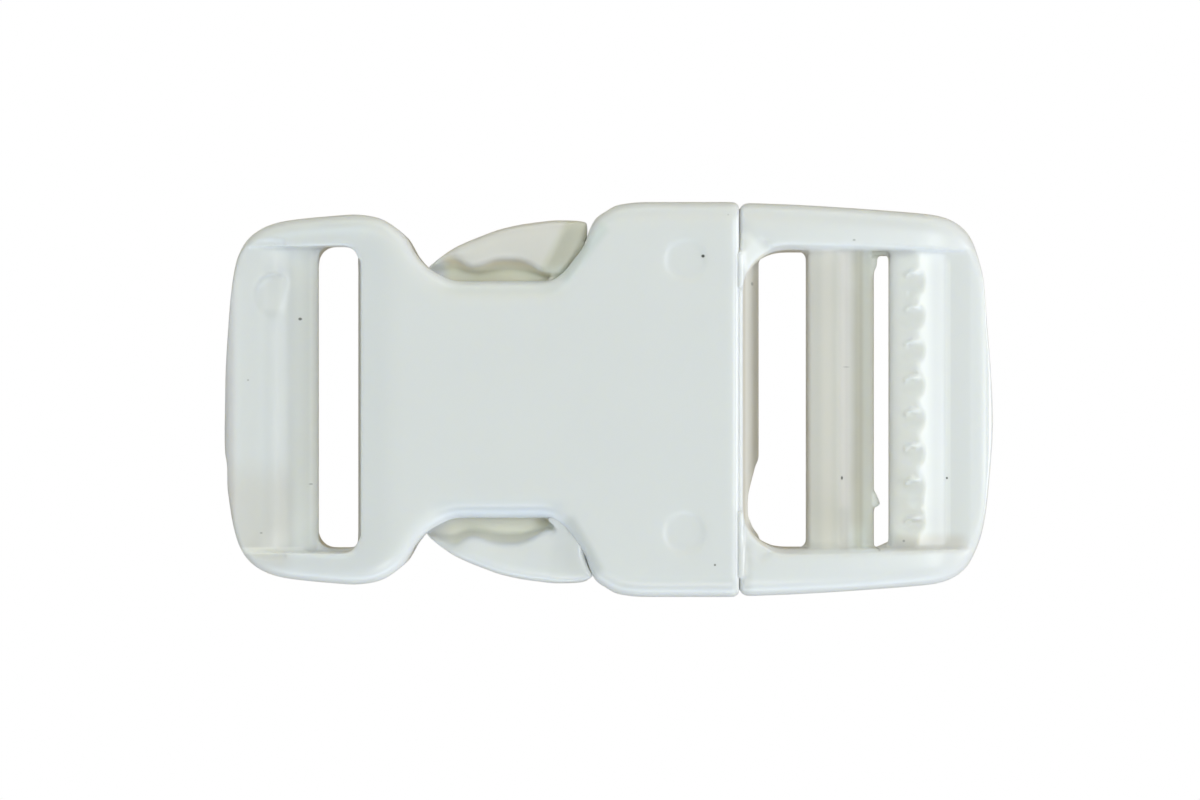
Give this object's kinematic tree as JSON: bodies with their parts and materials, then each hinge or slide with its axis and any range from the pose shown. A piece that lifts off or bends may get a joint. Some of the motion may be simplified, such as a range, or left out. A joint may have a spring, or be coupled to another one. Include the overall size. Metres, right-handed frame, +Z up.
{
  "type": "side release buckle",
  "caption": "Fastened side release buckle for flat webbing: a socket with a web loop, and a plug with sprung arms, finger pads and a frame with a toothed web bar.",
  "frame": {"origin": "On the surface that the fastened buckle lies on, under the middle of its box.", "axes": "+X along the webbing from the socket's loop to the plug's frame, +Y across it, +Z up."},
  "size_m": [0.0668, 0.034, 0.0104],
  "materials": {
    "socket_plastic": "satin, injection moulded, white",
    "plug_plastic": "satin, injection moulded, white"
  },
  "bodies": {
    "root": {"socket": "socket_plastic", "plug": "plug_plastic"}
  },
  "joints": []
}
